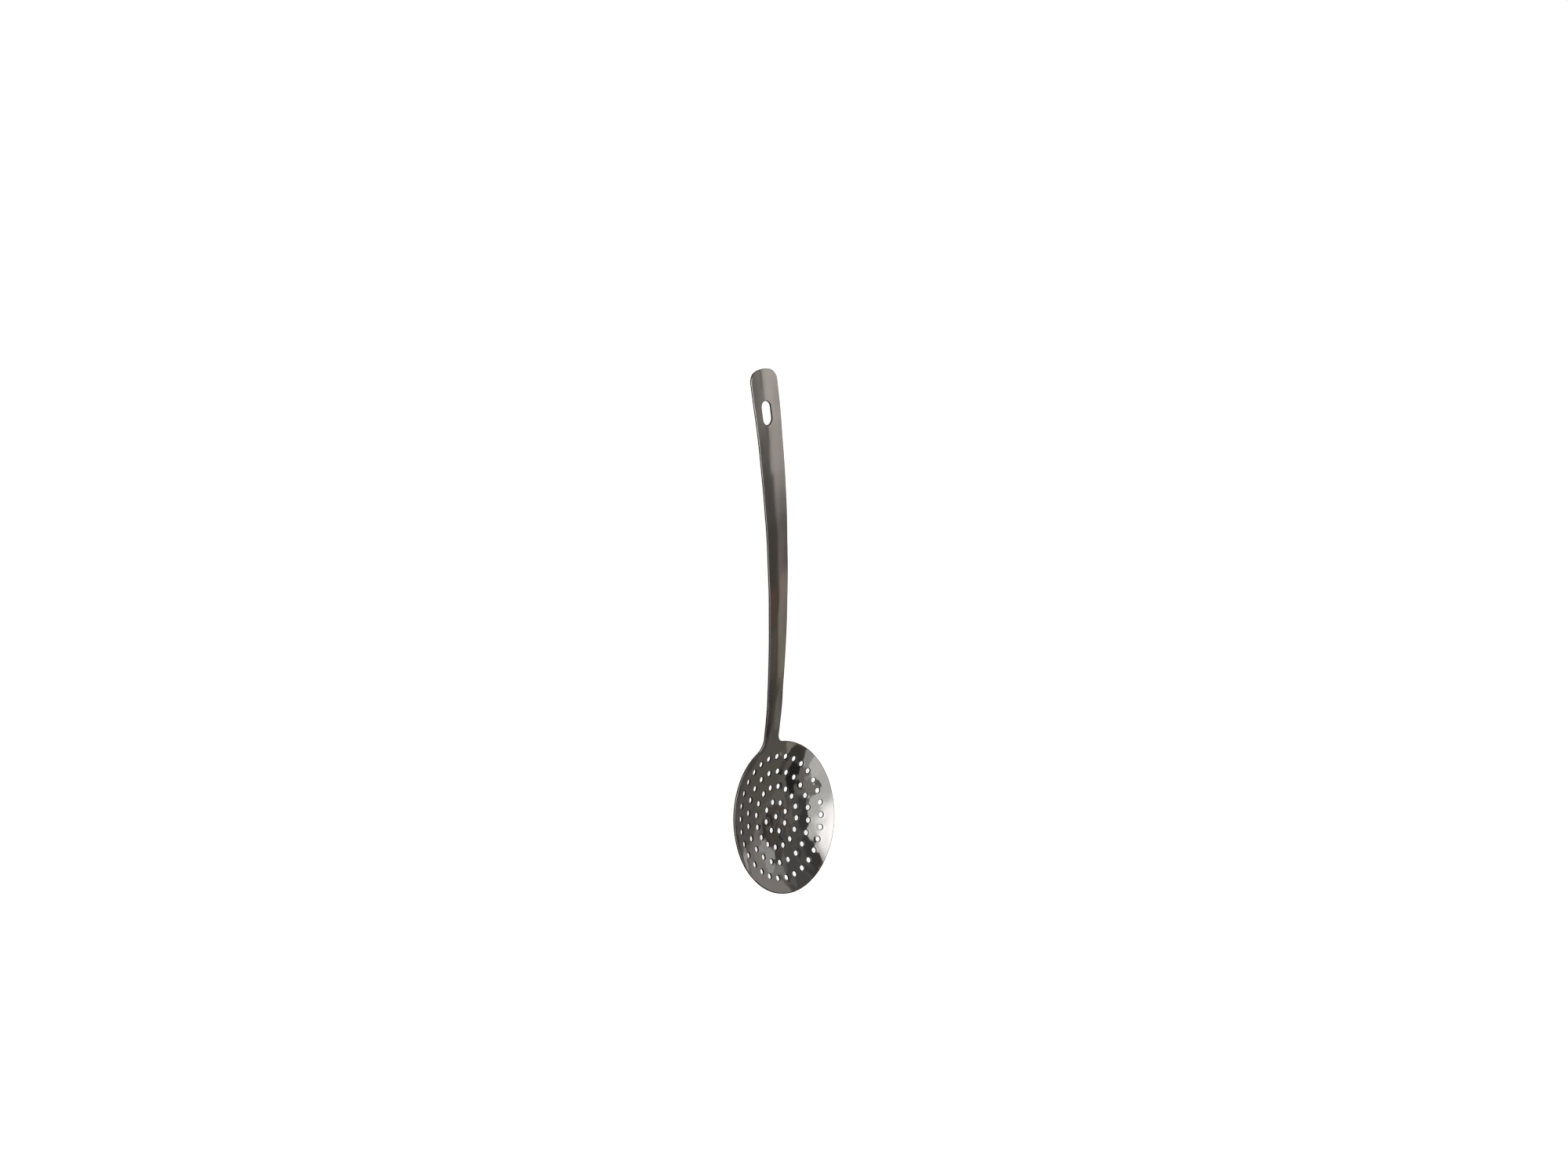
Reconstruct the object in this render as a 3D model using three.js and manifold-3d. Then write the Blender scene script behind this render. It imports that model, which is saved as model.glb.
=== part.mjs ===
// A pressed stainless-steel skimmer: a perforated dish with a filleted neck, and the long bowed handle that
// is welded to that neck. Both are one thickness of sheet, so each is made as it is in the press shop: a
// flat blank is laid out in plan, pressed to the skimmer's surface, and then punched.
import * as THREE from 'three';
import { mergeGeometries, mergeVertices } from 'three/addons/utils/BufferGeometryUtils.js';
import Module from 'manifold-3d';

const wasm = await Module();
wasm.setup();

// Driving dimensions in millimetres. The rim of the dish lies in the plane z = 0 round the origin and the
// handle runs towards -x. A reach is measured in plan, outwards from the rim.
const SHEET = 1.2;
const RIM_RADIUS = 49.7;
const DISH_DEPTH = 8.8;
const FLOOR_RADIUS = 6;
const HOLE_DIAMETER = 4;
const HOLE_PITCH = 9.95;
const RING_HOLES = [8, 16, 22, 30];
const NECK_WIDTH = 14.6;
const NECK_FILLET = 8;
const WELD_REACH = 16;
const WELD_GAP = 0.3;
const HANDLE_REACH = 241;
const HANDLE_BOW = 835;
const END_WIDTH = 25;
const END_RADIUS = 26.6;
const CORNER_RADIUS = 7.4;
const TROUGH_DEPTH = 1.3;
const TROUGH_RUN = 30;
const SLOT_LENGTH = 15.5;
const SLOT_WIDTH = 8.9;
const SLOT_INSET = 27;

// Shape of two curves: the power that hollows the handle's taper, and the share of the handle's half width
// that rounds the bottom of its trough.
const TAPER_POWER = 1.12;
const VALLEY_SHARE = 0.22;

// Facets of the sheet.
const DISH_ROWS = 7;
const NECK_COLUMNS = 5;
const RIM_COLUMNS = 50;
const FILLET_ROWS = 4;
const SHANK_ROWS = 2;
const HANDLE_ROWS = 30;
const END_ROWS = 4;
const HOLE_SIDES = 10;
const SLOT_STEPS = 10;
const WELD_TOLERANCE = 1e-3;
const NORMAL_STEP = 0.01;
const LEAN_STEPS = 40;

// Sizes that follow from the driving dimensions. The flat floor runs into an arc of dishArc, and the handle
// leaves the rim at the slope that the dish has there.
const dishRun = RIM_RADIUS - FLOOR_RADIUS;
const dishArc = (dishRun ** 2 + DISH_DEPTH ** 2) / (2 * DISH_DEPTH);
const rimSine = dishRun / dishArc;
const weldPlace = RIM_RADIUS + WELD_REACH;
const endPlace = RIM_RADIUS + HANDLE_REACH;
const slotPlace = endPlace - SLOT_INSET;
const punchLength = 3 * (SHEET + TROUGH_DEPTH);

// The rounded end: an arc of END_RADIUS on the axis, met from inside by corner arcs of CORNER_RADIUS.
const endCentre = endPlace - END_RADIUS;
const cornerSide = END_WIDTH / 2 - CORNER_RADIUS;
const cornerPlace = endCentre + Math.sqrt((END_RADIUS - CORNER_RADIUS) ** 2 - cornerSide ** 2);
const cornerAngle = Math.atan2(cornerSide, cornerPlace - endCentre);

// The neck's fillet: a circle of NECK_FILLET that touches the rim from outside and the neck's side.
const filletSide = NECK_WIDTH / 2 + NECK_FILLET;
const filletPlace = Math.sqrt((RIM_RADIUS + NECK_FILLET) ** 2 - filletSide ** 2);
const filletAngle = Math.atan2(filletSide, filletPlace);

const clamp01 = (value) => THREE.MathUtils.clamp(value, 0, 1);

// Half the handle's width at a place along it: the neck's up to the weld, then a slightly hollow taper to
// the corners.
function halfWidth(place) {
  const share = clamp01((place - weldPlace) / (cornerPlace - weldPlace));
  return THREE.MathUtils.lerp(NECK_WIDTH, END_WIDTH, share ** TAPER_POWER) / 2;
}

// Height of the upper face over the rim plane along a line from the middle: floor, dish arc, then the bow.
function meridian(radius) {
  if (radius <= FLOOR_RADIUS) {
    return -DISH_DEPTH;
  }
  if (radius <= RIM_RADIUS) {
    return dishArc - DISH_DEPTH - Math.sqrt(dishArc ** 2 - (radius - FLOOR_RADIUS) ** 2);
  }
  const sine = rimSine - (radius - RIM_RADIUS) / HANDLE_BOW;
  return HANDLE_BOW * (Math.sqrt(1 - sine ** 2) - Math.sqrt(1 - rimSine ** 2));
}

// The handle is a shallow trough: its two sides rise straight from a rounded bottom, as much as the width
// there asks for. It starts at the rim and is full after TROUGH_RUN.
function trough(place, side) {
  const start = THREE.MathUtils.smoothstep(place, RIM_RADIUS, RIM_RADIUS + TROUGH_RUN);
  const depth = (start * TROUGH_DEPTH * halfWidth(place)) / (END_WIDTH / 2);
  const rise = Math.hypot(side / halfWidth(place), VALLEY_SHARE) - VALLEY_SHARE;
  return (depth * rise) / (Math.hypot(1, VALLEY_SHARE) - VALLEY_SHARE);
}

function upperPoint(x, y) {
  return new THREE.Vector3(x, y, meridian(Math.hypot(x, y)) + trough(-x, y));
}

function upperNormal(x, y) {
  const alongX = upperPoint(x + NORMAL_STEP, y).sub(upperPoint(x - NORMAL_STEP, y));
  const alongY = upperPoint(x, y + NORMAL_STEP).sub(upperPoint(x, y - NORMAL_STEP));
  return alongX.cross(alongY).normalize();
}

// Keep only the positions of a geometry and join its like vertices.
function bare(geometry) {
  const copy = geometry.clone();
  copy.deleteAttribute('normal');
  copy.deleteAttribute('uv');
  return mergeVertices(copy, WELD_TOLERANCE);
}

// Blank of a part of the handle: a grid whose two ends are curves and whose two sides mirror each other,
// filled as a Coons patch. Each curve gives [place, side], the ends for v from -1 to 1 and the side for t
// from 0 to 1.
function stripBlank(start, end, side, rows, columns) {
  const blank = new THREE.PlaneGeometry(2, 2, rows, columns);
  const points = blank.getAttribute('position');
  for (let i = 0; i < points.count; i += 1) {
    const t = (1 - points.getX(i)) / 2;
    const v = points.getY(i);
    const [startPlace, startSide] = start(v);
    const [endPlaceHere, endSide] = end(v);
    const [edgePlace, edgeSide] = side(t);
    const cornerAt = [0, 1].map((k) => THREE.MathUtils.lerp(start(1)[k], end(1)[k], t));
    const place = THREE.MathUtils.lerp(startPlace, endPlaceHere, t) + edgePlace - cornerAt[0];
    const across = THREE.MathUtils.lerp(startSide, endSide, t) + v * (edgeSide - cornerAt[1]);
    points.setXYZ(i, -place, across, 0);
  }
  return blank;
}

// Blank of the dish: a round floor and a ring, each in two sectors so that the neck's columns meet the
// strip.
function dishBlank() {
  const sectors = [
    [Math.PI - filletAngle, 2 * filletAngle, NECK_COLUMNS],
    [Math.PI + filletAngle, 2 * (Math.PI - filletAngle), RIM_COLUMNS],
  ];
  return sectors.flatMap(([from, sweep, columns]) => [
    new THREE.CircleGeometry(FLOOR_RADIUS, columns, from, sweep),
    new THREE.RingGeometry(FLOOR_RADIUS, RIM_RADIUS, columns, DISH_ROWS, from, sweep),
  ]);
}

// Blank of the neck, from the rim between the fillets to the weld.
function neckBlank() {
  const rows = FILLET_ROWS + SHANK_ROWS;
  const filletShare = FILLET_ROWS / rows;
  const near = weldPlace - WELD_GAP / 2;
  const rimCurve = (v) => [RIM_RADIUS * Math.cos(v * filletAngle), RIM_RADIUS * Math.sin(v * filletAngle)];
  const weldCurve = (v) => [near, v * halfWidth(near)];
  const sideCurve = (t) => {
    if (t > filletShare) {
      const share = (t - filletShare) / (1 - filletShare);
      return [THREE.MathUtils.lerp(filletPlace, near, share), halfWidth(near)];
    }
    const turn = THREE.MathUtils.lerp(Math.PI + filletAngle, 1.5 * Math.PI, t / filletShare);
    return [filletPlace + NECK_FILLET * Math.cos(turn), filletSide + NECK_FILLET * Math.sin(turn)];
  };
  return stripBlank(rimCurve, weldCurve, sideCurve, rows, NECK_COLUMNS);
}

// Blank of the handle, from the weld to the corners and on round the end.
function handleBlank() {
  const near = weldPlace + WELD_GAP / 2;
  const startCurve = (v) => [near, v * halfWidth(near)];
  const cornerCurve = (v) => [cornerPlace, v * halfWidth(cornerPlace)];
  const taperCurve = (t) => {
    const place = THREE.MathUtils.lerp(near, cornerPlace, t);
    return [place, halfWidth(place)];
  };
  const endCurve = (v) => [
    endCentre + END_RADIUS * Math.cos(v * cornerAngle),
    END_RADIUS * Math.sin(v * cornerAngle),
  ];
  const roundCurve = (t) => {
    const turn = THREE.MathUtils.lerp(Math.PI / 2, cornerAngle, t);
    return [cornerPlace + CORNER_RADIUS * Math.cos(turn), cornerSide + CORNER_RADIUS * Math.sin(turn)];
  };
  return [
    stripBlank(startCurve, cornerCurve, taperCurve, HANDLE_ROWS, NECK_COLUMNS),
    stripBlank(cornerCurve, endCurve, roundCurve, END_ROWS, NECK_COLUMNS),
  ];
}

// Press a flat blank: its upper face takes the skimmer's surface, its lower face lies one sheet thickness
// below it along the normal, and a wall closes every edge that only one facet has.
function press(blanks) {
  const blank = mergeVertices(mergeGeometries(blanks.map(bare)), WELD_TOLERANCE);
  const plan = blank.getAttribute('position');
  const facets = blank.getIndex().array;
  const upper = [];
  const lower = [];
  for (let i = 0; i < plan.count; i += 1) {
    const point = upperPoint(plan.getX(i), plan.getY(i));
    const normal = upperNormal(plan.getX(i), plan.getY(i));
    upper.push(...point);
    lower.push(...point.addScaledVector(normal, -SHEET));
  }
  const index = [];
  const edges = new Set();
  for (let f = 0; f < facets.length; f += 3) {
    const [a, b, c] = facets.slice(f, f + 3);
    if (a === b || b === c || c === a) {
      continue;
    }
    index.push(a, b, c, plan.count + c, plan.count + b, plan.count + a);
    [[a, b], [b, c], [c, a]].forEach(([from, to]) => edges.add(`${from} ${to}`));
  }
  edges.forEach((edge) => {
    const [from, to] = edge.split(' ').map(Number);
    if (!edges.has(`${to} ${from}`)) {
      index.push(from, plan.count + from, to, to, plan.count + from, plan.count + to);
    }
  });
  const sheet = new THREE.BufferGeometry();
  sheet.setAttribute('position', new THREE.Float32BufferAttribute([...upper, ...lower], 3));
  sheet.setIndex(index);
  return sheet;
}

function solidOf(geometry) {
  const joined = bare(geometry);
  const vertProperties = new Float32Array(joined.getAttribute('position').array);
  const triVerts = new Uint32Array(joined.getIndex().array);
  return new wasm.Manifold(new wasm.Mesh({ numProp: 3, vertProperties, triVerts }));
}

// Punch a sheet with tools that pass right through it.
function punch(sheet, tools) {
  const mesh = solidOf(sheet).subtract(solidOf(mergeGeometries(tools.map(bare)))).getMesh();
  const punched = new THREE.BufferGeometry();
  punched.setAttribute('position', new THREE.Float32BufferAttribute(mesh.vertProperties, 3));
  punched.setIndex([...mesh.triVerts]);
  return punched;
}

// Set a tool made along +z at a place on the sheet, square to it and centred on its thickness.
function atSheet(tool, x, y) {
  const normal = upperNormal(x, y);
  const turn = new THREE.Quaternion().setFromUnitVectors(new THREE.Vector3(0, 0, 1), normal);
  const middle = upperPoint(x, y).addScaledVector(normal, -SHEET / 2);
  return tool.applyQuaternion(turn).translate(...middle);
}

// The perforation: a middle hole and rings of evenly spaced holes, each ring with one hole on the handle's
// axis.
function perforation() {
  const places = [[0, 0]];
  RING_HOLES.forEach((count, ring) => {
    const radius = (ring + 1) * HOLE_PITCH;
    for (let i = 0; i < count; i += 1) {
      const angle = Math.PI + (2 * Math.PI * i) / count;
      places.push([radius * Math.cos(angle), radius * Math.sin(angle)]);
    }
  });
  return places.map(([x, y]) => {
    const pin = new THREE.CylinderGeometry(HOLE_DIAMETER / 2, HOLE_DIAMETER / 2, punchLength, HOLE_SIDES);
    return atSheet(pin.rotateX(Math.PI / 2), x, y);
  });
}

// The hanging slot: an obround that lies along the handle.
function slotTool() {
  const round = SLOT_WIDTH / 2;
  const straight = SLOT_LENGTH / 2 - round;
  const outline = new THREE.Shape();
  outline.absarc(straight, 0, round, -Math.PI / 2, Math.PI / 2, false);
  outline.absarc(-straight, 0, round, Math.PI / 2, 1.5 * Math.PI, false);
  const settings = { depth: punchLength, bevelEnabled: false, curveSegments: SLOT_STEPS };
  const tool = new THREE.ExtrudeGeometry(outline, settings).translate(0, 0, -punchLength / 2);
  return atSheet(tool, -slotPlace, 0);
}

function steel(name, geometry, color, roughness) {
  geometry.computeVertexNormals();
  const mesh = new THREE.Mesh(geometry, new THREE.MeshStandardMaterial({ color, roughness, metalness: 1 }));
  mesh.name = name;
  return mesh;
}

function bowl() {
  const sheet = press([...dishBlank(), neckBlank()]);
  return steel('bowl', punch(sheet, perforation()), '#8c8880', 0.08);
}

function handle() {
  const sheet = press(handleBlank());
  return steel('handle', punch(sheet, [slotTool()]), '#a29e97', 0.2);
}

// Lowest point of a mesh when the skimmer leans by an angle, handle down.
function lowest(mesh, lean) {
  const points = mesh.geometry.getAttribute('position');
  let low = Infinity;
  for (let i = 0; i < points.count; i += 1) {
    low = Math.min(low, points.getX(i) * Math.sin(lean) + points.getZ(i) * Math.cos(lean));
  }
  return low;
}

// The skimmer lies on a table on the underside of its dish and the end of its handle: find that lean by
// halving, because the handle's end sinks and the dish rises as the lean grows.
function restingLean(dish, grip) {
  let flat = 0;
  let steep = Math.PI / 4;
  for (let i = 0; i < LEAN_STEPS; i += 1) {
    const middle = (flat + steep) / 2;
    if (lowest(grip, middle) > lowest(dish, middle)) {
      flat = middle;
    } else {
      steep = middle;
    }
  }
  return flat;
}

const dish = bowl();
const grip = handle();
const skimmer = new THREE.Group();
skimmer.add(dish, grip);
skimmer.rotation.y = -restingLean(dish, grip);

// The origin is on the table, under the middle of the skimmer.
const box = new THREE.Box3().setFromObject(skimmer, true);
const middle = box.getCenter(new THREE.Vector3());
skimmer.position.set(-middle.x, -middle.y, -box.min.z);

const group = new THREE.Group();
group.add(skimmer);

export default group;
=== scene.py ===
"""Looks of a perforated stainless-steel skimmer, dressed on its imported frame.

Both pieces are pressed from sheet of one even thickness. A sheet is laid out in plan as a patchwork of grids,
and each grid is lifted to the skimmer's surface. Lengths are millimetres until a mesh is made, and metres
from there on.
"""
import math

import bpy
import numpy as np
from mathutils import Matrix, Vector


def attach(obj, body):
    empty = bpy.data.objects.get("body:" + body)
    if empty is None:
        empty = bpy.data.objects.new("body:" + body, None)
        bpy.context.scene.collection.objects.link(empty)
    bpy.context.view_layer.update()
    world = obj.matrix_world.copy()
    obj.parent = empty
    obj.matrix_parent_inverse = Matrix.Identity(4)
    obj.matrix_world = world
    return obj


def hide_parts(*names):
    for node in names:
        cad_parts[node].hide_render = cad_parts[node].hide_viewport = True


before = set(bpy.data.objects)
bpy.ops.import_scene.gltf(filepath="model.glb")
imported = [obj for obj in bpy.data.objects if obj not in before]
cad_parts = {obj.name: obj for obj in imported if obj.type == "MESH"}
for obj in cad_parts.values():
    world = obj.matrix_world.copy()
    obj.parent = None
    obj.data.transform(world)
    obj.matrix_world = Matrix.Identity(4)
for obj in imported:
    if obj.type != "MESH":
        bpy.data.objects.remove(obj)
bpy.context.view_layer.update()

# Sizes of the pressed sheet. The rim lies in the plane z = 0 round the origin and the handle runs towards -x.
# The radius of a hole and the length and width of the slot are those of the wall between its rounded lips.
SHEET = 1.2
RIM_RADIUS = 49.7
DISH_DEPTH = 8.8
FLOOR_RADIUS = 6
HOLE_RADIUS = 1.7
HOLE_PITCH = 9.95
RING_HOLES = (8, 16, 22, 30)
NECK_WIDTH = 14.6
NECK_FILLET = 8
WELD_PLACE = 65.7
HANDLE_BOW = 835
END_PLACE = 290.7
END_WIDTH = 25
END_RADIUS = 26.6
CORNER_RADIUS = 7.4
TROUGH_DEPTH = 1.3
TROUGH_RUN = 30
TAPER_POWER = 1.12
VALLEY_SHARE = 0.55
SLOT_LENGTH = 14.7
SLOT_WIDTH = 8.1
SLOT_PLACE = END_PLACE - 27
EDGE_ROUND = 0.5
HOLE_ROUND = 0.5
DIMPLE_DEPTH = 0.07
DIMPLE_REACH = 3.9
WAVE_HEIGHT = 0.05
RIPPLE_HEIGHT = 0.02
RIPPLE_FADE = (50, 85)
FOLD_RISE = 0.55
FOLD_SHARE = 0.15
FOLD_POWER = 1.2
FOLD_PLACES = (46, 56, 74, 90)

# Grid counts and steps of the patchwork. The dark tilts are tilts in radians, between which the polished lip
# turns to sheared metal, painted near black as a painted dark reflection, and the sheared metal ends at the
# lower face.
EDGE_STEPS = 4
CELL_ARCS = (7, 9)
CELL_SIDE = 8
CELL_ROWS = 6
CELL_GAP = 0.4
MIDDLE_STEPS = 32
NECK_COLUMNS = 24
RIM_COLUMNS = 246
RIM_ROWS = 5
FILLET_ROWS = 14
SHANK_ROWS = 8
HANDLE_ROWS = 70
BEYOND_ROWS = 4
SLOT_ROWS = 24
SLOT_MARGIN = 5
SLOT_RINGS = 8
END_ROWS = 16
NORMAL_STEP = 0.01
EDGE_DARK_TILTS = (0.9, 1.2)
HOLE_DARK_TILTS = (0.1, 0.22)
LOWER_DARK_TILTS = (2.6, 3.1)
JOIN_STEP = 1e-4
LEAN_STEPS = 40
MM = 0.001

# Sizes that follow.
DISH_RUN = RIM_RADIUS - FLOOR_RADIUS
DISH_ARC = (DISH_RUN ** 2 + DISH_DEPTH ** 2) / (2 * DISH_DEPTH)
RIM_SINE = DISH_RUN / DISH_ARC
END_CENTRE = END_PLACE - END_RADIUS
CORNER_SIDE = END_WIDTH / 2 - CORNER_RADIUS
CORNER_PLACE = END_CENTRE + math.sqrt((END_RADIUS - CORNER_RADIUS) ** 2 - CORNER_SIDE ** 2)
CORNER_ANGLE = math.atan2(CORNER_SIDE, CORNER_PLACE - END_CENTRE)
FILLET_SIDE = NECK_WIDTH / 2 + NECK_FILLET
FILLET_PLACE = math.sqrt((RIM_RADIUS + NECK_FILLET) ** 2 - FILLET_SIDE ** 2)
FILLET_ANGLE = math.atan2(FILLET_SIDE, FILLET_PLACE)


def smooth(value, low, high):
    """0 below low, 1 above high, and 3t^2 - 2t^3 between them."""
    share = np.clip((value - low) / (high - low), 0, 1)
    return share * share * (3 - 2 * share)


def unit(vectors):
    """The vectors at length 1."""
    return vectors / np.linalg.norm(vectors, axis=-1, keepdims=True)


def half_width(place):
    """The neck's half width up to the weld, then a taper that is slightly hollow, as a power of the share."""
    share = np.clip((place - WELD_PLACE) / (CORNER_PLACE - WELD_PLACE), 0, 1)
    return (NECK_WIDTH + (END_WIDTH - NECK_WIDTH) * share ** TAPER_POWER) / 2


def meridian(radius):
    """Flat floor, then an arc up to the rim, then the bow of the handle, an arc that bends back down."""
    run = np.clip(radius - FLOOR_RADIUS, 0, DISH_RUN)
    dish = DISH_ARC - DISH_DEPTH - np.sqrt(DISH_ARC ** 2 - run ** 2)
    sine = RIM_SINE - np.clip(radius - RIM_RADIUS, 0, None) / HANDLE_BOW
    return dish + HANDLE_BOW * (np.sqrt(1 - sine ** 2) - math.sqrt(1 - RIM_SINE ** 2))


def trough(place, side):
    """A hyperbola across the handle: two sides that rise straight from a rounded bottom."""
    start = smooth(place, RIM_RADIUS, RIM_RADIUS + TROUGH_RUN)
    depth = start * TROUGH_DEPTH * 2 * half_width(place) / END_WIDTH
    rise = np.hypot(side / half_width(place), VALLEY_SHARE) - VALLEY_SHARE
    return depth * rise / (math.hypot(1, VALLEY_SHARE) - VALLEY_SHARE)


def fold(place, side):
    """Each side of the neck is pressed up from a crease: a straight rise from a share of the half width."""
    start, full, fade, end = FOLD_PLACES
    along = smooth(place, start, full) * (1 - smooth(place, fade, end))
    across = np.clip(np.abs(side) / half_width(place) - FOLD_SHARE, 0, 1) / (1 - FOLD_SHARE)
    return FOLD_RISE * along * across ** FOLD_POWER


def dimples(x, y):
    """The punch drags the sheet down round each hole, by (1 - (d / reach)^2)^2 at d from the nearest middle."""
    radius = np.hypot(x, y)
    ring = np.clip(np.rint(radius / HOLE_PITCH), 0, len(RING_HOLES)).astype(int)
    pitch = 2 * np.pi / np.array((1,) + RING_HOLES)[ring]
    angle = np.arctan2(y, -x)
    off = np.where(ring == 0, 0, angle - pitch * np.rint(angle / pitch))
    distance = np.where(ring == 0, radius, np.hypot(radius - ring * HOLE_PITCH * np.cos(off),
                                                     ring * HOLE_PITCH * np.sin(off)))
    return DIMPLE_DEPTH * np.clip(1 - (distance / DIMPLE_REACH) ** 2, 0, 1) ** 2


def waves(x, y):
    """Three long sine waves that cross each other, as the press leaves them, and two short ones that fade out
    along the neck, because the handle is buffed along its length. The divisors are wave lengths over 2 pi."""
    long = np.sin(x / 5.3 + 0.4 * y / 4.1) + np.sin(y / 4.7 - 0.5 * x / 6.1 + 1.3)
    long = long + np.sin((x + y) / 7.9 + 2.2)
    short = np.sin(x / 1.9 + np.sin(y / 3.1)) + np.sin(y / 1.7 + 1.5 * np.sin(x / 4.3))
    return WAVE_HEIGHT * long + RIPPLE_HEIGHT * (1 - smooth(-x, *RIPPLE_FADE)) * short


def height(x, y):
    """The upper face over the rim's plane, as the sum of all these forms."""
    return meridian(np.hypot(x, y)) + trough(-x, y) + fold(-x, y) - dimples(x, y) + waves(x, y)


def lift(x, y, depth, tilt, out_x, out_y):
    """Points and facings of the sheet. A point is the upper face at (x, y), carried down its normal by the
    depth. Its facing is the normal, turned by the tilt towards the outward direction in the tangent plane."""
    x, y, depth, tilt, out_x, out_y = np.broadcast_arrays(x, y, depth, tilt, out_x, out_y)
    slope_x = (height(x + NORMAL_STEP, y) - height(x - NORMAL_STEP, y)) / (2 * NORMAL_STEP)
    slope_y = (height(x, y + NORMAL_STEP) - height(x, y - NORMAL_STEP)) / (2 * NORMAL_STEP)
    normal = unit(np.stack([-slope_x, -slope_y, np.ones_like(slope_x)], -1))
    outward = np.stack([out_x, out_y, out_x * slope_x + out_y * slope_y], -1)
    outward = outward / np.maximum(np.linalg.norm(outward, axis=-1, keepdims=True), 1e-9)
    point = np.stack([x, y, height(x, y)], -1) - depth[..., None] * normal
    facing = np.cos(tilt)[..., None] * normal + np.sin(tilt)[..., None] * outward
    return point, facing


def edge_profile(lip):
    """Inset, depth and tilt down a deburred edge: a quarter circle, a straight wall and a quarter circle."""
    upper = np.linspace(0, np.pi / 2, EDGE_STEPS + 1)
    lower = np.linspace(np.pi / 2, np.pi, EDGE_STEPS + 1)
    inset = lip * (1 - np.sin(np.r_[upper, lower]))
    depth = np.r_[lip * (1 - np.cos(upper)), SHEET - lip * (1 + np.cos(lower))]
    return inset, depth, np.r_[upper, lower]


def grid_faces(rows, columns, closed):
    """Quads of a grid of rows by columns of points, joined round where it is closed."""
    steps = columns if closed else columns - 1
    row, column = np.meshgrid(np.arange(rows - 1), np.arange(steps), indexing="ij")
    after = (column + 1) % columns
    upper, lower = row * columns, (row + 1) * columns
    return np.stack([upper + column, upper + after, lower + after, lower + column], -1).reshape(-1, 4)


def patch(x, y, depth, tilt, out_x=0.0, out_y=0.0, closed=False, upper_dark_tilts=EDGE_DARK_TILTS):
    """One grid, or a stack of like grids along the first axis, lifted to the sheet. A point counts as sheared,
    and is painted near black as a painted dark reflection, where its tilt lies past the polished part of the
    upper lip and before the lower face."""
    point, facing = lift(x, y, depth, tilt, out_x, out_y)
    rows, columns = point.shape[-3:-1]
    stack = point.size // (3 * rows * columns)
    faces = grid_faces(rows, columns, closed)[None] + (np.arange(stack) * rows * columns)[:, None, None]
    painted_dark_share = np.broadcast_to(smooth(tilt, *upper_dark_tilts) * (1 - smooth(tilt, *LOWER_DARK_TILTS)), point.shape[:-1])
    return point.reshape(-1, 3), facing.reshape(-1, 3), faces.reshape(-1, 4), painted_dark_share.ravel()


def both_faces(x, y):
    """A grid on the upper face and its twin on the lower face."""
    return [patch(x, y, 0.0, 0.0), patch(x, y, SHEET, np.pi)]


def edge_sweep(x, y, out_x, out_y, closed=False):
    """The edge profile carried along an outline whose outward directions are given."""
    inset, depth, tilt = (value[:, None] for value in edge_profile(EDGE_ROUND))
    return patch(x - inset * out_x, y - inset * out_y, depth, tilt, out_x, out_y, closed)


def zipper(inner_radius, inner_angles, outer_radius, outer_angles):
    """Triangles between two circles of different counts: each side of one circle takes the point of the other
    that comes just before it in angle."""
    inner, outer = np.sort(inner_angles % (2 * np.pi)), np.sort(outer_angles % (2 * np.pi))
    m, n = len(inner), len(outer)
    i, j = np.arange(m), np.arange(n)
    inner_next = np.r_[inner[1:], inner[0] + 2 * np.pi]
    outer_next = np.r_[outer[1:], outer[0] + 2 * np.pi]
    to_outer = (np.searchsorted(np.r_[outer, outer + 2 * np.pi], inner_next, "left") - 1) % n
    to_inner = (np.searchsorted(np.r_[inner, inner + 2 * np.pi], outer_next, "right") - 1) % m
    first = np.stack([i, (i + 1) % m, m + to_outer, m + to_outer], -1)
    second = np.stack([m + j, m + (j + 1) % n, to_inner, to_inner], -1)
    faces = np.vstack([first, second])
    radius = np.r_[np.full(m, inner_radius), np.full(n, outer_radius)]
    angle = np.r_[inner, outer]
    x, y = -radius * np.cos(angle), radius * np.sin(angle)
    bands = []
    for depth, tilt in ((0.0, 0.0), (SHEET, np.pi)):
        point, facing = lift(x, y, depth, tilt, 0.0, 0.0)
        bands.append((point, facing, faces, np.zeros(m + n)))
    return bands


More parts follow.
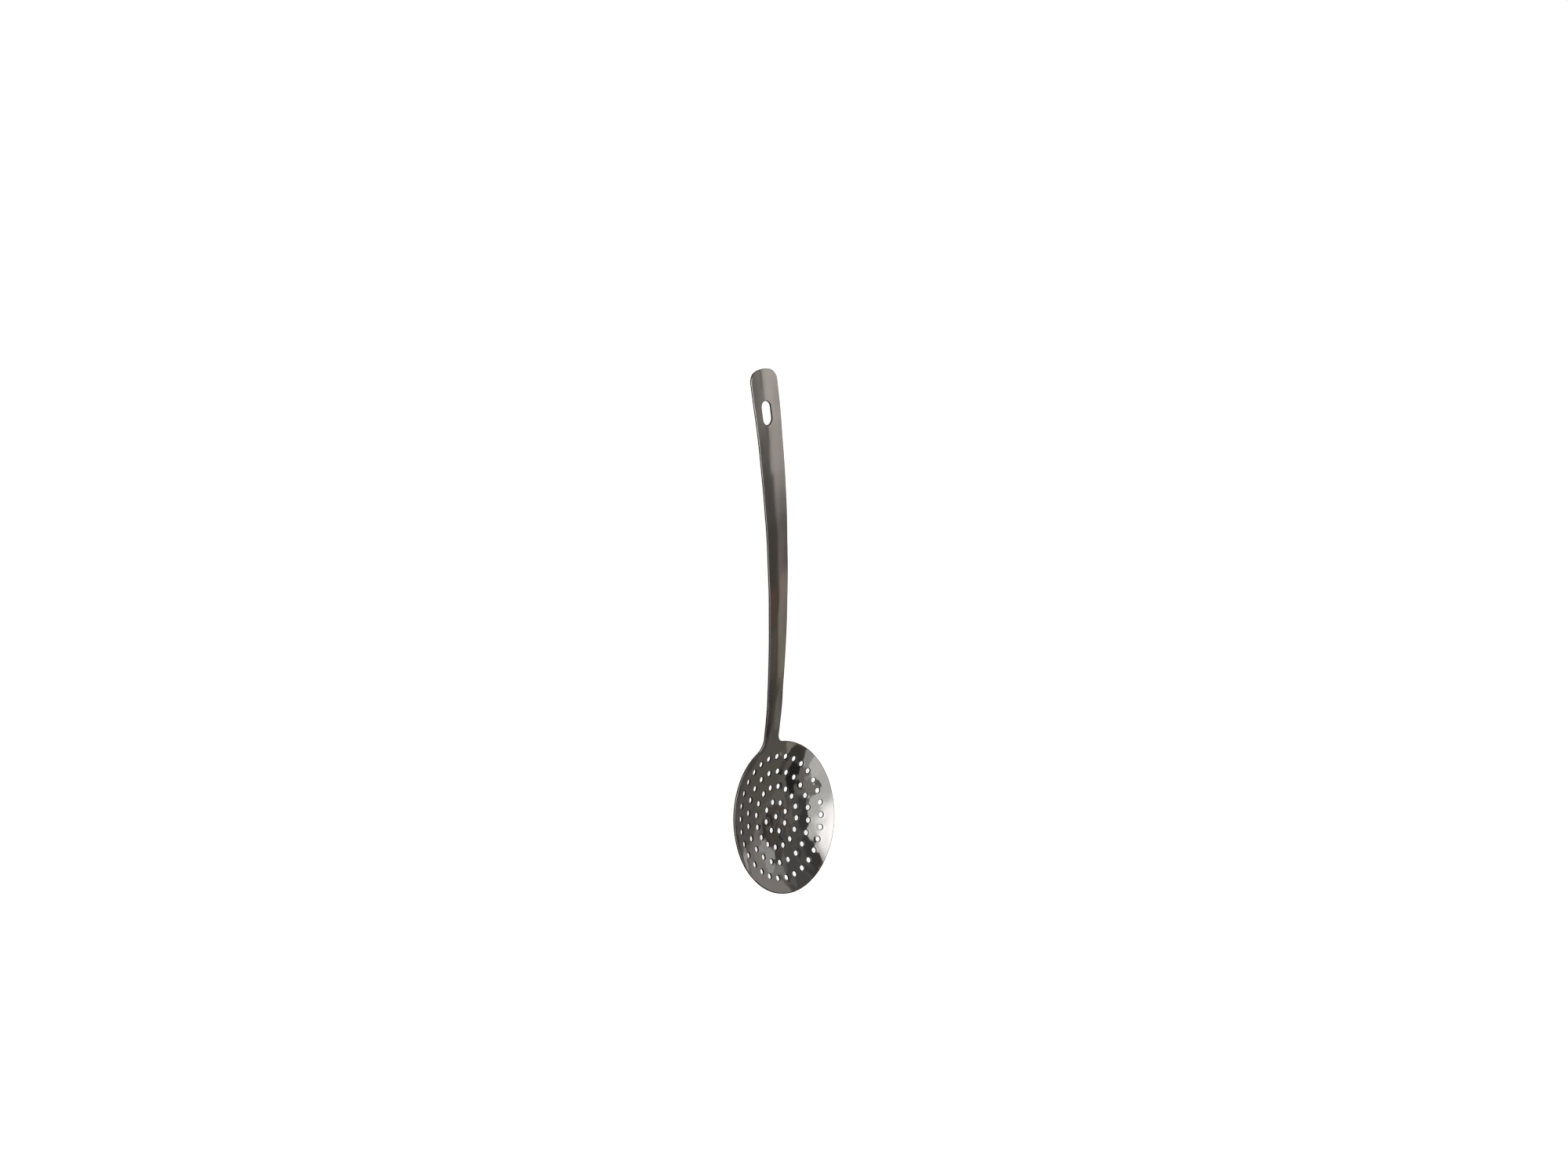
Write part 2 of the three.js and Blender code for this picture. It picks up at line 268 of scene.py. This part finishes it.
def hole_cells(ring):
    """The cells of one ring: an annular sector round each hole, whose grid runs in over the upper face, down
    the hole's wall and out again under it. The hole is round square to the sheet, so in plan its radial reach
    is shortened by the slope's cosine."""
    count = ((1,) + RING_HOLES)[ring]
    place = ring * HOLE_PITCH
    inner, outer = place - (HOLE_PITCH - CELL_GAP) / 2, place + (HOLE_PITCH - CELL_GAP) / 2
    half = np.pi / count
    if ring == 0:
        radius, angle = np.full(MIDDLE_STEPS, outer), np.linspace(0, 2 * np.pi, MIDDLE_STEPS + 1)[:-1]
    else:
        lower, upper = (np.linspace(-half, half, steps + 1) for steps in CELL_ARCS)
        rising = np.linspace(inner, outer, CELL_SIDE + 1)
        near, far = (np.full(steps, limit) for steps, limit in zip(CELL_ARCS, (inner, outer)))
        radius = np.r_[near, rising[:-1], far, rising[:0:-1]]
        angle = np.r_[lower[:-1], np.full(CELL_SIDE, half), upper[:0:-1], np.full(CELL_SIDE, -half)]
    along, across = radius * np.cos(angle) - place, radius * np.sin(angle)
    slope = math.cos(math.asin(max(place - FLOOR_RADIUS, 0) / DISH_ARC))
    turn = np.arctan2(across, along / slope)
    inset, depth, tilt = edge_profile(HOLE_ROUND)
    run = np.linspace(1, 0, CELL_ROWS + 1)
    reach = np.r_[run, np.zeros(len(inset) - 2), run[::-1]]
    flat = np.full(CELL_ROWS, HOLE_ROUND)
    inset = np.r_[flat, inset, flat]
    depth = np.r_[np.zeros(CELL_ROWS), depth, np.full(CELL_ROWS, SHEET)]
    tilt = np.r_[np.zeros(CELL_ROWS), tilt, np.full(CELL_ROWS, np.pi)]
    loop = HOLE_RADIUS + inset[:, None]
    along = reach[:, None] * along + (1 - reach[:, None]) * loop * np.cos(turn) * slope
    across = reach[:, None] * across + (1 - reach[:, None]) * loop * np.sin(turn)
    centre = (2 * np.pi * np.arange(count) / count)[:, None, None]
    x = -((place + along) * np.cos(centre) - across * np.sin(centre))
    y = (place + along) * np.sin(centre) + across * np.cos(centre)
    out = centre + turn
    return patch(x, y, depth[:, None], tilt[:, None], np.cos(out), -np.sin(out), True, HOLE_DARK_TILTS)


def ring_angles(ring, steps):
    """Where the outline points of a ring's cells lie round the dish, with so many steps a cell."""
    count = RING_HOLES[ring - 1]
    half = np.pi / count
    offsets = np.linspace(-half, half, steps + 1)[:-1]
    return (2 * np.pi * np.arange(count)[:, None] / count + offsets).ravel()


def coons(start, end, side):
    """A grid between two end curves and a pair of mirrored sides: the ruled grid of the ends plus, in
    proportion across, how far the side curve leaves the straight line of the corners."""
    (start_place, start_side), (end_place, end_side), (edge_place, edge_side) = start, end, side
    t = np.linspace(0, 1, len(edge_place))[:, None]
    v = np.linspace(-1, 1, len(start_place))
    corner_place = start_place[-1] * (1 - t) + end_place[-1] * t
    corner_side = start_side[-1] * (1 - t) + end_side[-1] * t
    place = start_place * (1 - t) + end_place * t + edge_place[:, None] - corner_place
    across = start_side * (1 - t) + end_side * t + v * (edge_side[:, None] - corner_side)
    return -place, across


def neck_sides(radius):
    """The neck's side from the rim to the weld: an arc of a radius round the fillet's centre, then a line."""
    turn = np.linspace(np.pi + FILLET_ANGLE, 1.5 * np.pi, FILLET_ROWS + 1)
    line = np.linspace(FILLET_PLACE, WELD_PLACE, SHANK_ROWS + 1)[1:]
    place = np.r_[FILLET_PLACE + radius * np.cos(turn), line]
    side = np.r_[FILLET_SIDE + radius * np.sin(turn), np.full(SHANK_ROWS, FILLET_SIDE - radius)]
    return place, side


def weld_cap(sign):
    """The flat end at the weld: a ladder between the two faces, and one between the quarters of each edge."""
    across = np.linspace(-1, 1, NECK_COLUMNS + 1) * (NECK_WIDTH / 2 - EDGE_ROUND)
    pieces = [patch(-WELD_PLACE, np.stack([across, across]), np.array([[0.0], [SHEET]]), 0.0)]
    inset, depth, _ = edge_profile(EDGE_ROUND)
    for way in (-1, 1):
        side = way * (NECK_WIDTH / 2 - inset)
        half = EDGE_STEPS + 1
        pieces.append(patch(-WELD_PLACE, np.stack([side[:half], side[:half - 1:-1]]),
                            np.stack([depth[:half], depth[:half - 1:-1]]), 0.0))
    facing = np.array([sign, 0.0, 0.0])
    return [(point, np.broadcast_to(facing, point.shape), faces, painted_dark_share) for point, _, faces, painted_dark_share in pieces]


def bowl_patches():
    """Dish with its perforation, rim and filleted neck up to the weld."""
    patches = [hole_cells(ring) for ring in range(len(RING_HOLES) + 1)]
    gap = CELL_GAP / 2
    for ring in range(1, len(RING_HOLES)):
        edge = (ring + 0.5) * HOLE_PITCH
        patches += zipper(edge - gap, ring_angles(ring, CELL_ARCS[1]),
                          edge + gap, ring_angles(ring + 1, CELL_ARCS[0]))
    patches += zipper(HOLE_PITCH / 2 - gap, np.linspace(0, 2 * np.pi, MIDDLE_STEPS + 1)[:-1],
                      HOLE_PITCH / 2 + gap, ring_angles(1, CELL_ARCS[0]))
    neck = np.linspace(-FILLET_ANGLE, FILLET_ANGLE, NECK_COLUMNS + 1)
    rim = np.linspace(FILLET_ANGLE, 2 * np.pi - FILLET_ANGLE, RIM_COLUMNS + 1)
    last = (len(RING_HOLES) + 0.5) * HOLE_PITCH
    patches += zipper(last - gap, ring_angles(len(RING_HOLES), CELL_ARCS[1]), last + gap,
                      np.r_[neck[:-1], rim[:-1]])
    inner = RIM_RADIUS - EDGE_ROUND
    for angle in (neck, rim):
        radius = np.linspace(last + gap, inner, RIM_ROWS + 1)[:, None]
        patches += both_faces(-radius * np.cos(angle), radius * np.sin(angle))
    patches.append(edge_sweep(-RIM_RADIUS * np.cos(rim), RIM_RADIUS * np.sin(rim), -np.cos(rim), np.sin(rim)))
    v = np.linspace(-1, 1, NECK_COLUMNS + 1)
    weld = (np.full(NECK_COLUMNS + 1, WELD_PLACE), v * (NECK_WIDTH / 2 - EDGE_ROUND))
    patches += both_faces(*coons((inner * np.cos(neck), inner * np.sin(neck)), weld,
                                 neck_sides(NECK_FILLET + EDGE_ROUND)))
    place, side = neck_sides(NECK_FILLET)
    outward = unit(np.stack([FILLET_PLACE - place, FILLET_SIDE - side], -1))
    outward[FILLET_ROWS:] = (0, 1)
    for way in (-1, 1):
        patches.append(edge_sweep(-place, way * side, -outward[:, 0], way * outward[:, 1]))
    return patches + weld_cap(-1)


def slot_cell():
    """The sheet round the slot: from the cell's four sides to the nearest place on the slot's outline."""
    reach = SLOT_LENGTH / 2 + SLOT_MARGIN
    straight = (SLOT_LENGTH - SLOT_WIDTH) / 2
    v = np.linspace(-1, 1, NECK_COLUMNS + 1)
    rows = np.linspace(-reach, reach, SLOT_ROWS + 1)
    along = np.r_[np.full(NECK_COLUMNS, -reach), rows[:-1], np.full(NECK_COLUMNS, reach), rows[:0:-1]]
    way = np.r_[v[:-1], np.ones(SLOT_ROWS), v[:0:-1], -np.ones(SLOT_ROWS)]
    across = way * (half_width(SLOT_PLACE + along) - EDGE_ROUND)
    cap = np.clip(along, -straight, straight)
    outward = unit(np.stack([along - cap, across], -1))
    inset, depth, tilt = edge_profile(HOLE_ROUND)
    run = np.linspace(1, 0, SLOT_RINGS + 1)
    blend = np.r_[run, np.zeros(len(inset) - 2), run[::-1]][:, None]
    flat = np.full(SLOT_RINGS, HOLE_ROUND)
    inset = np.r_[flat, inset, flat][:, None]
    depth = np.r_[np.zeros(SLOT_RINGS), depth, np.full(SLOT_RINGS, SHEET)][:, None]
    tilt = np.r_[np.zeros(SLOT_RINGS), tilt, np.full(SLOT_RINGS, np.pi)][:, None]
    place = blend * along + (1 - blend) * (cap + (SLOT_WIDTH / 2 + inset) * outward[:, 0])
    side = blend * across + (1 - blend) * (SLOT_WIDTH / 2 + inset) * outward[:, 1]
    return patch(-(SLOT_PLACE + place), side, depth, tilt, outward[:, 0], -outward[:, 1], True, HOLE_DARK_TILTS)


def handle_patches():
    """Handle from the weld to its rounded end, with the slot in a cell of its own."""
    v = np.linspace(-1, 1, NECK_COLUMNS + 1)
    slot_start, slot_end = (SLOT_PLACE + way * (SLOT_LENGTH / 2 + SLOT_MARGIN) for way in (-1, 1))
    before = np.linspace(WELD_PLACE, slot_start, HANDLE_ROWS + 1)
    beside = np.linspace(slot_start, slot_end, SLOT_ROWS + 1)
    beyond = np.linspace(slot_end, CORNER_PLACE, BEYOND_ROWS + 1)
    patches = [slot_cell()]
    for place in (before, beyond):
        patches += both_faces(-place[:, None], v * (half_width(place)[:, None] - EDGE_ROUND))
    place = np.r_[before, beside[1:], beyond[1:]]
    corner = np.linspace(np.pi / 2, CORNER_ANGLE, END_ROWS + 1)
    tip = v * CORNER_ANGLE

    def corner_curve(radius):
        return CORNER_PLACE + radius * np.cos(corner), CORNER_SIDE + radius * np.sin(corner)

    def tip_curve(radius):
        return END_CENTRE + radius * np.cos(tip), radius * np.sin(tip)

    corner_row = (np.full(NECK_COLUMNS + 1, CORNER_PLACE), v * (END_WIDTH / 2 - EDGE_ROUND))
    patches += both_faces(*coons(corner_row, tip_curve(END_RADIUS - EDGE_ROUND),
                                 corner_curve(CORNER_RADIUS - EDGE_ROUND)))
    arc_place, arc_side = corner_curve(CORNER_RADIUS)
    for way in (-1, 1):
        patches.append(edge_sweep(-place, way * half_width(place), 0.0, float(way)))
        patches.append(edge_sweep(-arc_place, way * arc_side, -np.cos(corner), way * np.sin(corner)))
    tip_place, tip_side = tip_curve(END_RADIUS)
    patches.append(edge_sweep(-tip_place, tip_side, -np.cos(tip), np.sin(tip)))
    return patches + weld_cap(1)


def stitched(patches):
    """Join the patches where their points meet, and turn every face to the side that its points face."""
    points, facings, faces, painted_dark_shares = zip(*patches)
    starts = np.cumsum([0] + [len(point) for point in points[:-1]])
    faces = np.vstack([start + face for start, face in zip(starts, faces)])
    points, facings, painted_dark_shares = np.vstack(points), unit(np.vstack(facings)), np.hstack(painted_dark_shares)
    _, first, joined = np.unique(np.rint(points / JOIN_STEP), axis=0, return_index=True, return_inverse=True)
    joined = joined.ravel()
    across, down = points[faces[:, 2]] - points[faces[:, 0]], points[faces[:, 3]] - points[faces[:, 1]]
    backwards = (np.cross(across, down) * facings[faces].sum(1)).sum(1) < 0
    faces[backwards] = faces[backwards][:, ::-1]
    return points[first], facings, faces, joined, painted_dark_shares[first]


def lowest(points, lean):
    """The lowest place of the points once they lean about the y axis."""
    return (points[:, 0] * math.sin(lean) + points[:, 2] * math.cos(lean)).min()


def resting_lean(dish, grip):
    """Halve between flat and steep until the dish and the handle's end are equally low."""
    flat, steep = 0.0, math.pi / 4
    for _ in range(LEAN_STEPS):
        middle = (flat + steep) / 2
        if lowest(grip, middle) > lowest(dish, middle):
            flat = middle
        else:
            steep = middle
    return flat


def sheet_piece(name, sheet, turn, shift):
    """Mesh of one stitched sheet, turned and shifted to its resting place, with its facings as normals."""
    points, facings, faces, joined, painted_dark_shares = sheet
    corners = [[c for k, c in enumerate(face) if joined[c] != joined[face[k - 1]]] for face in faces.tolist()]
    laid_points = ((points @ turn.T + shift) * MM).tolist()
    mesh = bpy.data.meshes.new(name)
    mesh.from_pydata(laid_points, [], [[joined[c] for c in face] for face in corners])
    mesh.polygons.foreach_set("use_smooth", np.ones(len(corners), bool))
    mesh.normals_split_custom_set((facings @ turn.T)[[c for face in corners for c in face]])
    # The share of sheared metal on edges and hole lips, which the material paints near black as a painted dark
    # reflection.
    mesh.attributes.new("sheared_painted_dark", "FLOAT", "POINT").data.foreach_set("value", painted_dark_shares.astype(np.float32))
    mesh.update()
    piece = bpy.data.objects.new(name, mesh)
    bpy.context.scene.collection.objects.link(piece)
    return piece


dish_sheet, grip_sheet = stitched(bowl_patches()), stitched(handle_patches())
lean = resting_lean(dish_sheet[0], grip_sheet[0])
turn = np.array([[math.cos(lean), 0, -math.sin(lean)], [0, 1, 0], [math.sin(lean), 0, math.cos(lean)]])
laid = np.vstack([dish_sheet[0], grip_sheet[0]]) @ turn.T
low, high = laid.min(0), laid.max(0)
shift = -np.array([(low[0] + high[0]) / 2, (low[1] + high[1]) / 2, low[2]])
polished_bowl = sheet_piece("polished_bowl", dish_sheet, turn, shift)
satin_handle = sheet_piece("satin_handle", grip_sheet, turn, shift)


def linear(code):
    """sRGB hex to linear colour."""
    parts = [int(code[k:k + 2], 16) / 255 for k in (1, 3, 5)]
    return tuple(c / 12.92 if c <= 0.04045 else ((c + 0.055) / 1.055) ** 2.4 for c in parts) + (1.0,)


def node(tree, kind, inputs=(), **settings):
    """Add a node, set its settings, and set or link its inputs, given by name or number."""
    made = tree.nodes.new(kind)
    for key, value in settings.items():
        setattr(made, key, value)
    for key, value in dict(inputs).items():
        if isinstance(value, bpy.types.NodeSocket):
            tree.links.new(value, made.inputs[key])
        else:
            made.inputs[key].default_value = value
    return made


# Finish of the steel. The mirror gives way to satin between two places along the skimmer, in metres.
# The sheared colour is near black: a painted dark reflection on cut edges, hole lips and hole walls, where they
# would otherwise mirror the white floor.
PAINTED_DARK_REFLECTION_COLOUR = "#181614"
SHEARED_ROUGHNESS = 0.4
MIRROR_ROUGHNESS = 0.035
SATIN_ROUGHNESS = 0.17
MIRROR_FROM = 0.085
SATIN_UP_TO = 0.062
DRIFT_RANGE = (0.1, 0.4)
DRIFT_DETAIL = 3.0
GLOSS_DRIFT = (0.75, 1.35)
STREAK_DETAIL = 6.0
STREAK_STRENGTH = 0.04
STREAK_DEPTH = 2e-5


def steel(name, light, dark, grain, patchiness):
    """Stainless steel, pressed and then buffed. Its colour and gloss drift in soft patches where the buffing
    wheel and hands have been, and fine streaks run along the grain, drawn coarser than real ones so that they
    show. Grain and patchiness are pattern cells a metre. The dish has a mirror gloss that fades along the neck
    to the handle's satin one. The sheared edges and hole lips are matt sheared metal, and their colour is
    painted near black: a painted dark reflection, where they would otherwise mirror the white floor."""
    material = bpy.data.materials.new(name)
    material.use_nodes = True
    tree = material.node_tree
    tree.nodes.clear()
    place = node(tree, "ShaderNodeTexCoord").outputs["Object"]
    grained = node(tree, "ShaderNodeMapping", {"Vector": place, "Scale": grain}).outputs[0]
    streaks = node(tree, "ShaderNodeTexNoise", {
        "Vector": grained, "Scale": 1.0, "Detail": STREAK_DETAIL}).outputs[0]
    patches = node(tree, "ShaderNodeTexNoise", {
        "Vector": place, "Scale": patchiness, "Detail": DRIFT_DETAIL}).outputs[0]
    drift = node(tree, "ShaderNodeMath", {0: streaks, 1: patches}, operation="MULTIPLY").outputs[0]
    buffed = node(tree, "ShaderNodeMix", {
        0: patches, 6: linear(dark), 7: linear(light)}, data_type="RGBA").outputs[2]
    along = node(tree, "ShaderNodeSeparateXYZ", {0: place}).outputs["X"]
    satin = node(tree, "ShaderNodeMapRange", enumerate((
        along, MIRROR_FROM, SATIN_UP_TO, MIRROR_ROUGHNESS, SATIN_ROUGHNESS))).outputs[0]
    gloss = node(tree, "ShaderNodeMapRange", enumerate((drift, *DRIFT_RANGE, *GLOSS_DRIFT))).outputs[0]
    gloss = node(tree, "ShaderNodeMath", {0: gloss, 1: satin}, operation="MULTIPLY").outputs[0]
    # Sheared edges and hole lips: matt sheared metal, and painted near black as a painted dark reflection.
    sheared_painted_dark = node(tree, "ShaderNodeAttribute", attribute_name="sheared_painted_dark").outputs["Fac"]
    colour = node(tree, "ShaderNodeMix", {
        0: sheared_painted_dark, 6: buffed, 7: linear(PAINTED_DARK_REFLECTION_COLOUR)}, data_type="RGBA").outputs[2]
    gloss = node(tree, "ShaderNodeMix", {0: sheared_painted_dark, 2: gloss, 3: SHEARED_ROUGHNESS}).outputs[0]
    bump = node(tree, "ShaderNodeBump", {
        "Strength": STREAK_STRENGTH, "Distance": STREAK_DEPTH, "Height": streaks})
    shader = node(tree, "ShaderNodeBsdfPrincipled", {
        "Base Color": colour, "Metallic": 1.0, "Roughness": gloss, "Normal": bump.outputs[0]})
    node(tree, "ShaderNodeOutputMaterial", {"Surface": shader.outputs[0]})
    return material


# Mirror-buffed stainless steel: the dish shows the studio in clear light and dark patches.
mirror_steel = steel("mirror_buffed_stainless_steel", "#c9c4c3", "#b5b5b0", (60, 900, 900), 40)
# Satin-buffed stainless steel: the handle blurs what it mirrors into soft gradients along its length.
satin_steel = steel("satin_buffed_stainless_steel", "#ccc5c2", "#b5b5af", (30, 1500, 1500), 30)
for piece, material, cad_node, slot in (
    (polished_bowl, mirror_steel, "bowl", "bowl_steel"),
    (satin_handle, satin_steel, "handle", "handle_steel"),
):
    piece.data.materials.append(material)
    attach(piece, "root")
    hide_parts(cad_node)


# Colours of the studio's card, panels and walls.
WHITE = "#ffffff"
WARM = "#fffaf5"
COOL = "#fdfeff"
OLIVE = "#fffcea"
BROWN = "#ffdacc"

# The floor: matt white card. To the camera and in mirrors it is white, and it keeps the shadow.
FLOOR_HALF = 6.0
FLOOR_GLOW = 0.62
CARD_COLOUR = "#e8e7e4"
card = bpy.data.materials.new("matt_white_card")
card.use_nodes = True
tree = card.node_tree
tree.nodes.clear()
path = node(tree, "ShaderNodeLightPath")
seen = path.outputs["Is Camera Ray"]
for mirrored in ("Is Glossy Ray", "Is Transmission Ray"):
    seen = node(tree, "ShaderNodeMath", {0: seen, 1: path.outputs[mirrored]}, operation="MAXIMUM").outputs[0]
floor_glow = node(tree, "ShaderNodeMath", {0: seen, 1: FLOOR_GLOW}, operation="MULTIPLY")
matt = node(tree, "ShaderNodeBsdfDiffuse", {"Color": linear(CARD_COLOUR)})
shine = node(tree, "ShaderNodeEmission", {"Color": linear(WHITE), "Strength": floor_glow.outputs[0]})
both = node(tree, "ShaderNodeAddShader", {0: matt.outputs[0], 1: shine.outputs[0]})
node(tree, "ShaderNodeOutputMaterial", {"Surface": both.outputs[0]})
floor_mesh = bpy.data.meshes.new("floor")
corners = [(x * FLOOR_HALF, y * FLOOR_HALF, 0) for x, y in ((-1, -1), (1, -1), (1, 1), (-1, 1))]
floor_mesh.from_pydata(corners, [], [(0, 1, 2, 3)])
floor_mesh.materials.append(card)
floor = bpy.data.objects.new("floor", floor_mesh)
bpy.context.scene.collection.objects.link(floor)


def direction(azimuth, elevation):
    """Unit vector to a place in the studio, with the azimuth counted from +x towards +y, in degrees."""
    a, e = math.radians(azimuth), math.radians(elevation)
    return Vector((math.cos(a) * math.cos(e), math.sin(a) * math.cos(e), math.sin(e)))


def glow(brightness, colour):
    """A colour at a brightness, with its tint kept."""
    return tuple(brightness * part for part in linear(colour)[:3]) + (1.0,)


# The studio round the skimmer, as panels far away: azimuth and elevation of the middle, radius and soft edge
# in degrees, brightness and colour. A later panel covers the ones before it. The first lights the camera's
# side. To the camera the studio is white.
STUDIO_LEVEL = 0.085
PANELS = (
    (-60, 25, 60, 20, 0.4, WHITE),
    (95, 50, 26, 4, 0.13, WARM),
    (110, 38, 8, 3, 0.15, COOL),
    (98, 22, 16, 5, 0.28, WARM),
    (92, 32, 4, 2, 0.42, WHITE),
    (82, 21, 5, 4, 0.22, WARM),
    (80, 10, 3, 2, 0.45, WHITE),
    (66, 20, 14, 6, 0.085, WARM),
    (58, 22, 4, 2, 0.09, WARM),
    (62, 8, 6, 3, 0.06, WARM),
    (56, 14, 5, 3, 0.035, WARM),
    (60, 36, 13, 4, 0.085, OLIVE),
    (82, 45, 2, 1, 0.06, BROWN),
    (84, 39, 3, 2, 0.01, BROWN),
    (91, 43, 5, 2, 0.05, OLIVE),
    (96, 38, 3, 1, 0.03, COOL),
    (114, 40, 8, 4, 0.11, COOL),
    (100, 32, 4, 2, 0.26, COOL),
    (43, 45, 5, 2, 0.26, OLIVE),
    (216, 67, 46, 4, 0.07, COOL),
    (60, 64, 6, 3, 0.22, WARM),
    (35, 64, 8, 3, 0.45, WHITE),
    (25, 75, 13, 5, 0.82, WHITE),
    (72, 71, 6, 3, 0.3, WARM),
    (216, 67, 38, 1, 0.78, WHITE),
    (63, 76, 3, 1, 0.2, WARM),
    (175, 70, 14, 17, 1.9, WHITE),
    (60, 54, 4.5, 2, 0.03, WARM),
    (47, 50, 3, 2, 0.07, OLIVE),
    (69, 56, 4, 2, 0.03, WARM),
)

world = bpy.data.worlds.new("studio")
bpy.context.scene.world = world
world.use_nodes = True
tree = world.node_tree
tree.nodes.clear()
ray = node(tree, "ShaderNodeTexCoord").outputs["Generated"]
light = node(tree, "ShaderNodeRGB").outputs[0]
light.default_value = glow(STUDIO_LEVEL, WARM)
for azimuth, elevation, radius, blur, brightness, colour in PANELS:
    facing = node(tree, "ShaderNodeVectorMath", {0: ray, 1: direction(azimuth, elevation)},
                  operation="DOT_PRODUCT").outputs["Value"]
    near, far = (math.cos(math.radians(radius + way * blur / 2)) for way in (-1, 1))
    share = node(tree, "ShaderNodeMapRange", enumerate((facing, far, near, 0.0, 1.0)),
                 interpolation_type="SMOOTHSTEP").outputs[0]
    light = node(tree, "ShaderNodeMix", {0: share, 6: light, 7: glow(brightness, colour)},
                 data_type="RGBA").outputs[2]
to_camera = node(tree, "ShaderNodeLightPath").outputs["Is Camera Ray"]
seen = node(tree, "ShaderNodeMix", {0: to_camera, 6: light, 7: linear(WHITE)}, data_type="RGBA").outputs[2]
background = node(tree, "ShaderNodeBackground", {"Color": seen, "Strength": 1.0})
node(tree, "ShaderNodeOutputWorld", {"Surface": background.outputs[0]})

# The key lamp stands on the camera's side, where the steel doesn't mirror it to the camera. Its size is in
# metres and its power in watts.
KEY_PLACE = Vector((-0.4, -1.3, 1.1))
KEY_SIZE = 0.9
KEY_POWER = 14
key = bpy.data.lights.new("key_softbox", "AREA")
key.shape = "DISK"
key.size = KEY_SIZE
key.energy = KEY_POWER
key_lamp = bpy.data.objects.new("key_softbox", key)
key_lamp.location = KEY_PLACE
key_lamp.rotation_euler = (-KEY_PLACE).to_track_quat("-Z", "Y").to_euler()
bpy.context.scene.collection.objects.link(key_lamp)

# Soft boxes near the skimmer, upright in one plane behind it and facing it: x and z of the middle, length,
# rise, brightness and colour. The handle mirrors those before x = 0.1, and the bowl the one beyond it. The
# power of a flat lamp is its brightness times pi times its area.
BOX_SIDE = 0.09
BOXES = (
    (-0.17, 0.115, 0.08, 0.075, 0.58, "#fff9f4"),
    (-0.11, 0.115, 0.04, 0.075, 0.45, "#fff9f4"),
    (-0.08, 0.125, 0.02, 0.06, 0.36, "#fff9f4"),
    (-0.06, 0.125, 0.02, 0.06, 0.2, "#fff9f4"),
    (-0.04, 0.125, 0.02, 0.06, 0.1, "#fff4ec"),
    (-0.015, 0.125, 0.03, 0.06, 0.15, "#ffe4dc"),
    (0.015, 0.125, 0.03, 0.06, 0.28, "#ffe4de"),
    (0.045, 0.12, 0.03, 0.06, 0.25, "#ffeee6"),
    (0.08, 0.12, 0.04, 0.06, 0.21, "#fff2dc"),
    (0.017, 0.055, 0.03, 0.04, 0.055, "#ff7c54"),
    (0.055, 0.055, 0.04, 0.04, 0.04, "#ffe8cc"),
    (0.152, 0.06, 0.05, 0.09, 0.06, "#fff4ea"),
)
for number, (x, z, length, rise, brightness, colour) in enumerate(BOXES, 1):
    box = bpy.data.lights.new("soft_box_%d" % number, "AREA")
    box.shape = "RECTANGLE"
    box.size, box.size_y = length, rise
    box.energy = brightness * math.pi * length * rise
    box.color = linear(colour)[:3]
    box_lamp = bpy.data.objects.new(box.name, box)
    box_lamp.location = (x, BOX_SIDE, z)
    box_lamp.rotation_euler = (-math.pi / 2, 0, 0)
    bpy.context.scene.collection.objects.link(box_lamp)

# The camera, at the photograph's place and turn, in metres and degrees.
EYE = Vector((-0.38421, -0.82049, 0.68466))
AZIMUTH, ELEVATION, ROLL = -23.0605, 36.8589, 103.3992
SENSOR_WIDTH = 36
FOCAL_LENGTH = 40.648
NEAREST_SEEN = 0.01
lens = bpy.data.cameras.new("camera")
lens.sensor_width = SENSOR_WIDTH
lens.lens = FOCAL_LENGTH
lens.clip_start = NEAREST_SEEN
a, e, r = (math.radians(angle) for angle in (AZIMUTH, ELEVATION, ROLL))
back = Vector((math.sin(a) * math.cos(e), -math.cos(a) * math.cos(e), math.sin(e)))
level_right = Vector((math.cos(a), math.sin(a), 0))
level_up = back.cross(level_right)
right = math.cos(r) * level_right + math.sin(r) * level_up
up = back.cross(right)
camera = bpy.data.objects.new("camera", lens)
camera.matrix_world = Matrix.Translation(EYE) @ Matrix((right, up, back)).transposed().to_4x4()
bpy.context.scene.collection.objects.link(camera)
bpy.context.scene.camera = camera
bpy.context.scene.view_settings.view_transform = "Standard"
